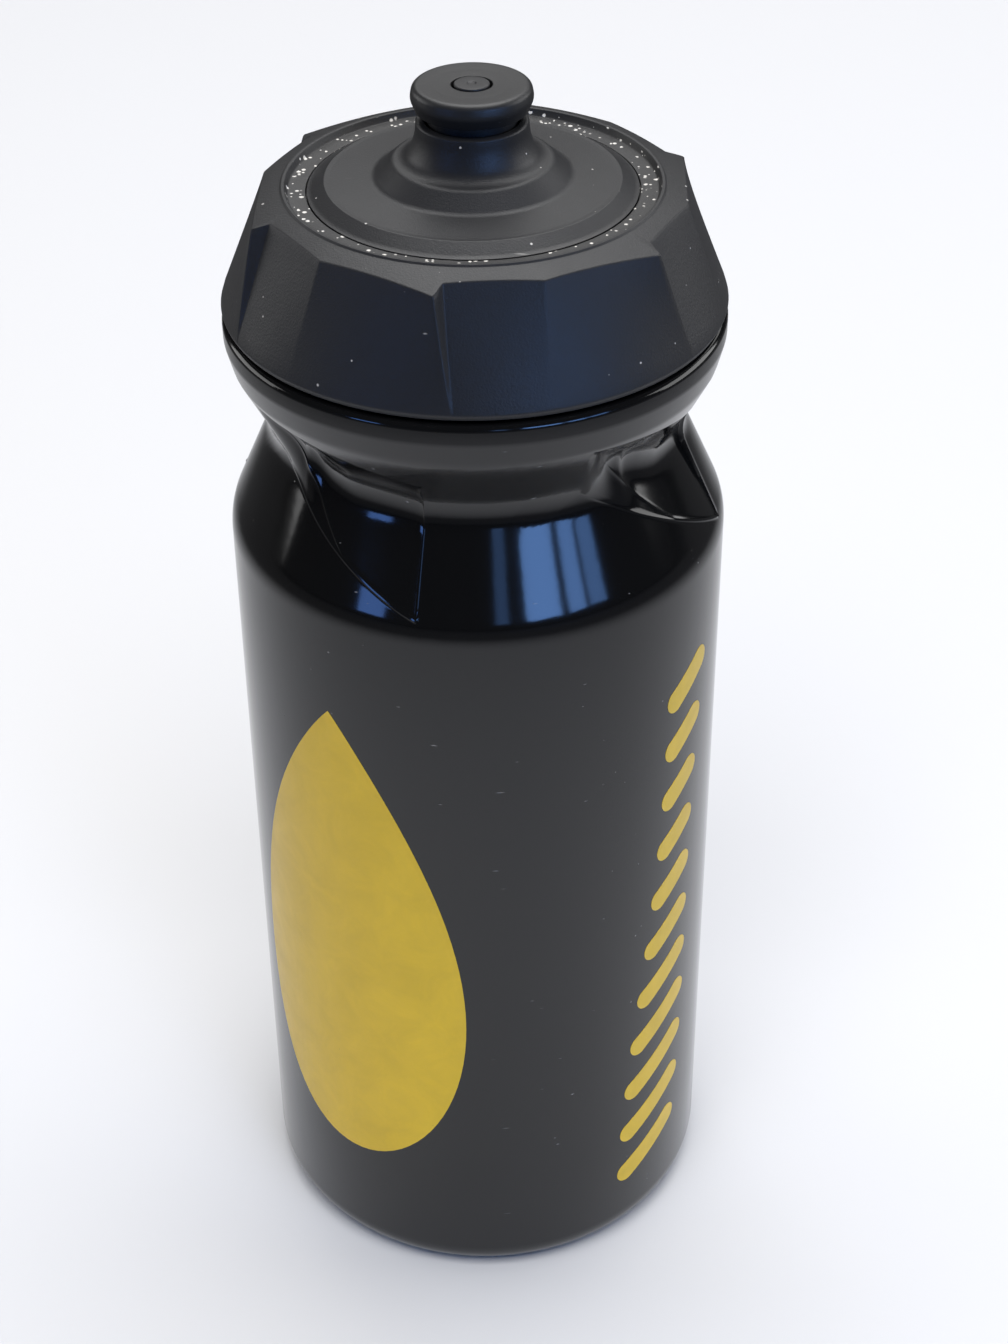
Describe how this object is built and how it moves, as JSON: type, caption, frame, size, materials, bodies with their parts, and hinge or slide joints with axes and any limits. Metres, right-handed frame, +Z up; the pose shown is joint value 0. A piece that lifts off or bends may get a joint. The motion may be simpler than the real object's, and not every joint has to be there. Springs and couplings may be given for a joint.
{
  "type": "sports squeeze bottle",
  "caption": "Black squeeze bottle with swirled shoulder grooves, a toothed screw cap and a push-pull mouthpiece on a flared spout.",
  "frame": {"origin": "centre of the base, on the surface that the bottle stands on", "axes": "+Z up along the bottle's axis; -Y is the front of the bottle, +X its right-hand side seen from the front"},
  "size_m": [0.074, 0.074, 0.1971],
  "materials": {
    "bottle_plastic": "satin black polyethylene",
    "cap_plastic": "fine-grained matte black",
    "spout_plastic": "fine-grained matte black",
    "mouthpiece_soft": "smooth matte soft black",
    "seal_rubber": "smooth dark grey rubber",
    "print_ink": "mustard printing ink"
  },
  "bodies": {
    "bottle": {"bottle_body": "bottle_plastic"},
    "gasket": {"cap_gasket": "seal_rubber"},
    "cap": {"cap_shell": "cap_plastic", "insert_seal": "seal_rubber", "spout_insert": "spout_plastic", "centre_plug": "spout_plastic"},
    "slide_ring": {"mouthpiece_seal": "seal_rubber"},
    "mouthpiece": {"mouthpiece_core": "spout_plastic", "mouthpiece_cover": "mouthpiece_soft"}
  },
  "joints": [
    {"name": "cap_rise", "type": "slide", "parent": "bottle", "child": "gasket", "axis": [0, 0, 1], "range_m": [0, 0.015]},
    {"name": "cap_turn", "type": "hinge", "parent": "gasket", "child": "cap", "pos_m": [0, 0, 0.17], "axis": [0, 0, 1], "range_deg": [0, 905]},
    {"name": "mouthpiece_pull", "type": "slide", "parent": "cap", "child": "slide_ring", "axis": [0, 0, 1], "range_m": [0, 0.0055]},
    {"name": "mouthpiece_turn", "type": "hinge", "parent": "slide_ring", "child": "mouthpiece", "pos_m": [0, 0, 0.19], "axis": [0, 0, 1], "continuous": true}
  ],
  "couplings": [
    {"joint": "cap_turn", "follows": "cap_rise", "rad_per_m": 1047.2}
  ]
}
